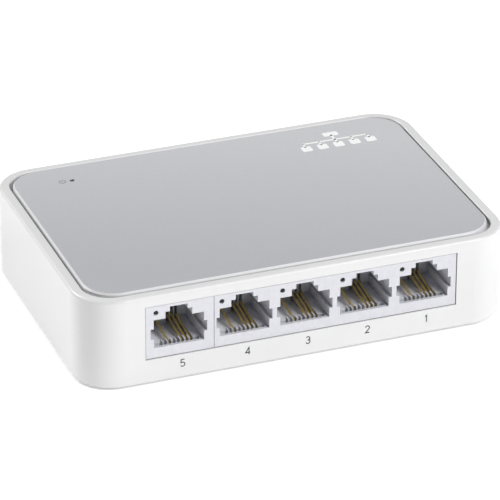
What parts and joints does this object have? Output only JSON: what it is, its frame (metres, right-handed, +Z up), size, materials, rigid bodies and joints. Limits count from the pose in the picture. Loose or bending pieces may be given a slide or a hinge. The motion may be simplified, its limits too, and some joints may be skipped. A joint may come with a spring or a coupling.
{
  "type": "desktop network switch",
  "caption": "Low rounded white box with a grey top plate, stepped modular jacks along one long side and a round power inlet on the other.",
  "frame": {"origin": "on the surface under the feet, below the middle of the case", "axes": "+X along the case to the right seen from the port side, +Y from the port side to the inlet side, +Z up"},
  "size_m": [0.1036, 0.07, 0.0229],
  "materials": {
    "white_abs": "satin white moulded ABS",
    "grey_panel": "fine satin grey with a bright bevelled edge",
    "port_plastic": "pale grey moulded plastic",
    "gold_contact": "thin gold plating on phosphor bronze",
    "clear_plastic": "clear moulded light guide",
    "light_chip": "chip light in pale resin",
    "board_laminate": "green solder mask",
    "black_resin": "black moulded epoxy",
    "metal_can": "drawn metal can",
    "ferrite": "grey black ferrite",
    "chip_ceramic": "tan chip ceramic",
    "inlet_plastic": "black moulded nylon",
    "nickel_pin": "bright nickel plate",
    "tinned_metal": "tin plate",
    "zinc_screw": "bright zinc",
    "foot_rubber": "dark moulded rubber",
    "label_film": "blank silver grey film"
  },
  "bodies": {
    "switch": {"board_screws": "zinc_screw", "bottom_cover": "white_abs", "case_screws": "zinc_screw", "chip_capacitors": "chip_ceramic", "chip_resistors": "black_resin", "circuit_board": "board_laminate", "crystal": "metal_can", "gang_housing": "port_plastic", "gang_transformer": "black_resin", "inductor": "ferrite", "input_capacitor": "metal_can", "input_fuse": "chip_ceramic", "left_front_foot": "foot_rubber", "left_rear_foot": "foot_rubber", "main_case": "white_abs", "output_capacitor": "metal_can", "port_1_contact_tails": "gold_contact", "port_1_light": "light_chip", "port_1_light_guide": "clear_plastic", "port_2_contact_tails": "gold_contact", "port_2_light": "light_chip", "port_2_light_guide": "clear_plastic", "port_3_contact_tails": "gold_contact", "port_3_light": "light_chip", "port_3_light_guide": "clear_plastic", "port_4_contact_tails": "gold_contact", "port_4_light": "light_chip", "port_4_light_guide": "clear_plastic", "port_5_contact_tails": "gold_contact", "port_5_housing": "port_plastic", "port_5_light": "light_chip", "port_5_light_guide": "clear_plastic", "power_inlet_housing": "inlet_plastic", "power_inlet_pin": "nickel_pin", "power_inlet_terminals": "tinned_metal", "power_light": "light_chip", "power_light_guide": "clear_plastic", "rating_label": "label_film", "regulator": "black_resin", "right_front_foot": "foot_rubber", "right_rear_foot": "foot_rubber", "single_transformer": "black_resin", "switch_chip": "black_resin", "top_panel": "grey_panel"},
    "port_1_springs": {"port_1_contact_springs": "gold_contact"},
    "port_2_springs": {"port_2_contact_springs": "gold_contact"},
    "port_3_springs": {"port_3_contact_springs": "gold_contact"},
    "port_4_springs": {"port_4_contact_springs": "gold_contact"},
    "port_5_springs": {"port_5_contact_springs": "gold_contact"},
    "inlet_leaf": {"power_inlet_leaf": "nickel_pin"}
  },
  "joints": [
    {"name": "port_1_spring_press", "type": "hinge", "parent": "switch", "child": "port_1_springs", "pos_m": [0.0297, -0.03235, 0.0084], "axis": [-1, 0, 0], "range_deg": [0, 7], "stiffness_Nm_per_rad": 0.02},
    {"name": "port_2_spring_press", "type": "hinge", "parent": "switch", "child": "port_2_springs", "pos_m": [0.0152, -0.03235, 0.0084], "axis": [-1, 0, 0], "range_deg": [0, 7], "stiffness_Nm_per_rad": 0.02},
    {"name": "port_3_spring_press", "type": "hinge", "parent": "switch", "child": "port_3_springs", "pos_m": [0.0007, -0.03235, 0.0084], "axis": [-1, 0, 0], "range_deg": [0, 7], "stiffness_Nm_per_rad": 0.02},
    {"name": "port_4_spring_press", "type": "hinge", "parent": "switch", "child": "port_4_springs", "pos_m": [-0.0138, -0.03235, 0.0084], "axis": [-1, 0, 0], "range_deg": [0, 7], "stiffness_Nm_per_rad": 0.02},
    {"name": "port_5_spring_press", "type": "hinge", "parent": "switch", "child": "port_5_springs", "pos_m": [-0.0294, -0.03235, 0.0084], "axis": [-1, 0, 0], "range_deg": [0, 7], "stiffness_Nm_per_rad": 0.02},
    {"name": "inlet_leaf_press", "type": "hinge", "parent": "switch", "child": "inlet_leaf", "pos_m": [0.028, 0.0246, 0.00875], "axis": [-1, 0, 0], "range_deg": [0, 5], "stiffness_Nm_per_rad": 0.05}
  ]
}
